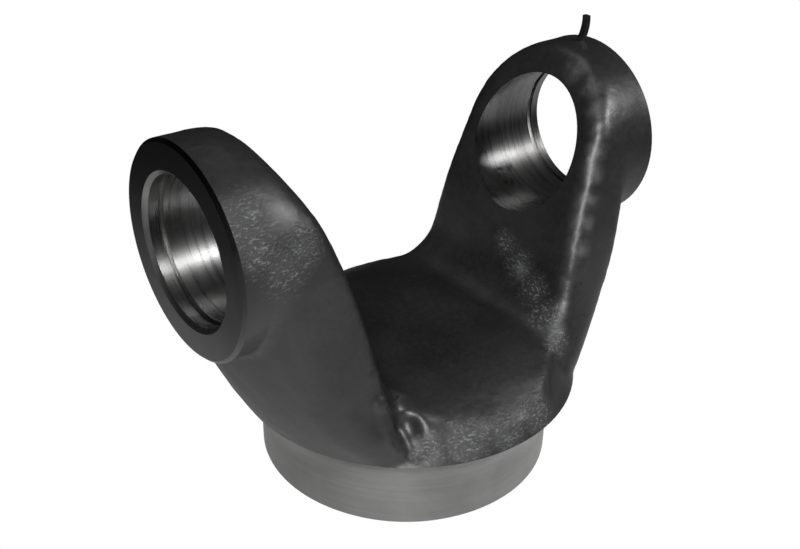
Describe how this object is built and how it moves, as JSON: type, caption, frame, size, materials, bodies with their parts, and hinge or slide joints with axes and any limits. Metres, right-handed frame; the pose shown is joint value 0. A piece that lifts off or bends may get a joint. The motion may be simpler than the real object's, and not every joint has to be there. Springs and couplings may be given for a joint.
{
  "type": "weld yoke",
  "caption": "Forged driveshaft weld yoke: two bored ears rise from a saddle on a round shoulder with a turned pilot that fits inside a tube.",
  "frame": {"origin": "centre of the pilot's bottom face, where the tube's axis meets it", "axes": "+Z along the tube's axis towards the ears; X along the axis of the cross bores, with the thicker ear at -X; Y across the saddle"},
  "size_m": [0.125, 0.0906, 0.1083],
  "materials": {
    "forged_steel": "forged and shot-blasted grey scale, satin",
    "machined_steel": "turned and honed bright steel"
  },
  "bodies": {
    "root": {"yoke": "forged_steel"}
  },
  "joints": []
}
